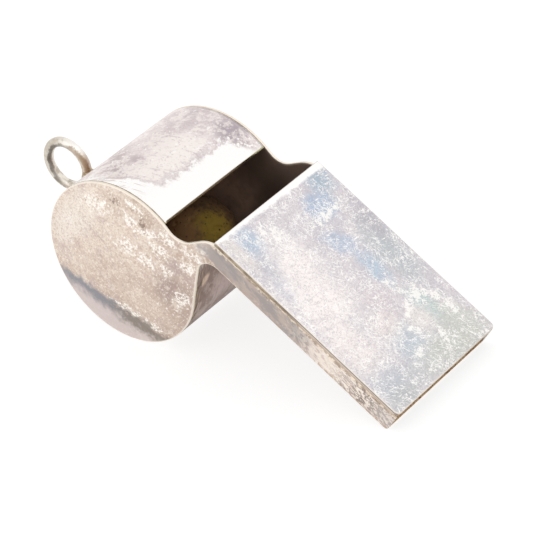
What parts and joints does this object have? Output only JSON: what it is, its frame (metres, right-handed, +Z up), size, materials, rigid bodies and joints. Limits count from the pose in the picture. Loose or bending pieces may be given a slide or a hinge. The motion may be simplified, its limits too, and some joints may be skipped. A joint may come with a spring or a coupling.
{
  "type": "pea whistle",
  "caption": "Soldered sheet-metal pea whistle with a domed round barrel, a flat mouthpiece, a sounding window, a fixed wire ring for a lanyard and a loose cork pea in the chamber.",
  "frame": {"origin": "middle of the footprint on the table, with the whistle lying on its barrel and its mouth end", "axes": "+X from the ring towards the mouth, +Y across from the left cheek to the right cheek, +Z up"},
  "size_m": [0.0542, 0.02, 0.02],
  "materials": {
    "silver_plate": "worn silver plate over brass, tarnished and scratched",
    "hard_solder": "dull yellow hard solder",
    "cork": "bare cork"
  },
  "bodies": {
    "whistle": {"barrel_band": "silver_plate", "left_cheek": "silver_plate", "right_cheek": "silver_plate", "mouthpiece_roof": "silver_plate", "lanyard_ring": "silver_plate", "ring_solder": "hard_solder", "cheek_solder_left": "hard_solder", "cheek_solder_right": "hard_solder", "roof_solder_left": "hard_solder", "roof_solder_right": "hard_solder"},
    "pea": {"cork_pea": "cork"}
  },
  "joints": [
    {"name": "pea_roll", "type": "hinge", "parent": "whistle", "child": "pea", "pos_m": [-0.00899, 0, 0.01], "axis": [0, 1, 0], "continuous": true}
  ]
}
